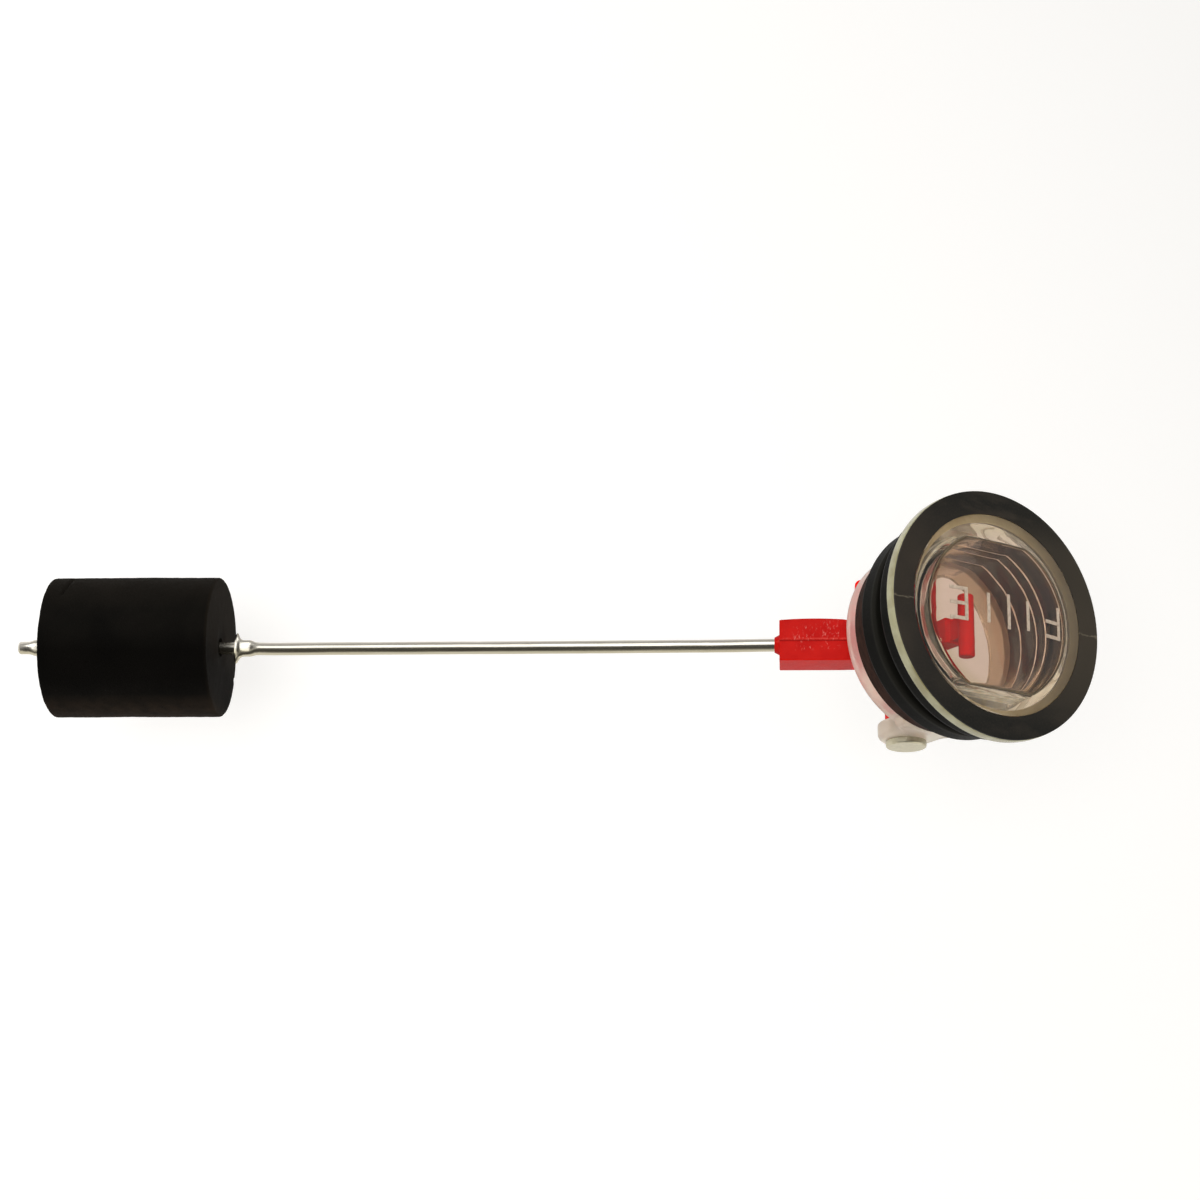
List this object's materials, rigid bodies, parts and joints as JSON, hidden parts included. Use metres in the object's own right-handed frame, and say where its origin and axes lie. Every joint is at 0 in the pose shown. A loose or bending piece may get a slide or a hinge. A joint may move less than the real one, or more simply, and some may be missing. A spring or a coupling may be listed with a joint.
{
  "type": "fuel level float",
  "caption": "Sight-glass fuel level gauge for a tank top: a clear domed dial in a rubber grommet, with a pivoting lever, wire rod and foam float that move a pointer bar.",
  "frame": {"origin": "centre of the dial flange's underside, where the grommet bears against it, on the axis of the barrel", "axes": "+Z out of the tank along the dial's axis, -X towards the rod and float, Y along the pivot pin"},
  "size_m": [0.2154, 0.06, 0.168],
  "materials": {
    "clear_plastic": "polished clear moulding",
    "black_ring": "satin",
    "grommet_rubber": "satin moulded rubber",
    "red_plastic": "glossy moulded",
    "rod_steel": "drawn wire",
    "black_foam": "cut closed-cell foam",
    "pin_steel": "smooth bright",
    "cream_print": "printed marks"
  },
  "bodies": {
    "gauge": {"lens_body": "clear_plastic", "face_ring": "black_ring", "grommet": "grommet_rubber", "pivot_pin": "pin_steel", "pin_clip": "pin_steel", "dial_marks": "cream_print"},
    "lever": {"float_lever": "red_plastic", "float_rod": "rod_steel"},
    "float": {"foam_float": "black_foam"}
  },
  "joints": [
    {"name": "arm_pivot", "type": "hinge", "parent": "gauge", "child": "lever", "pos_m": [0, 0, -0.03285], "axis": [0, 1, 0], "range_deg": [-25, 25]},
    {"name": "float_slide", "type": "slide", "parent": "lever", "child": "float", "axis": [-0.8221, 0, -0.5693], "range_m": [-0.0032, 0.0013]}
  ]
}
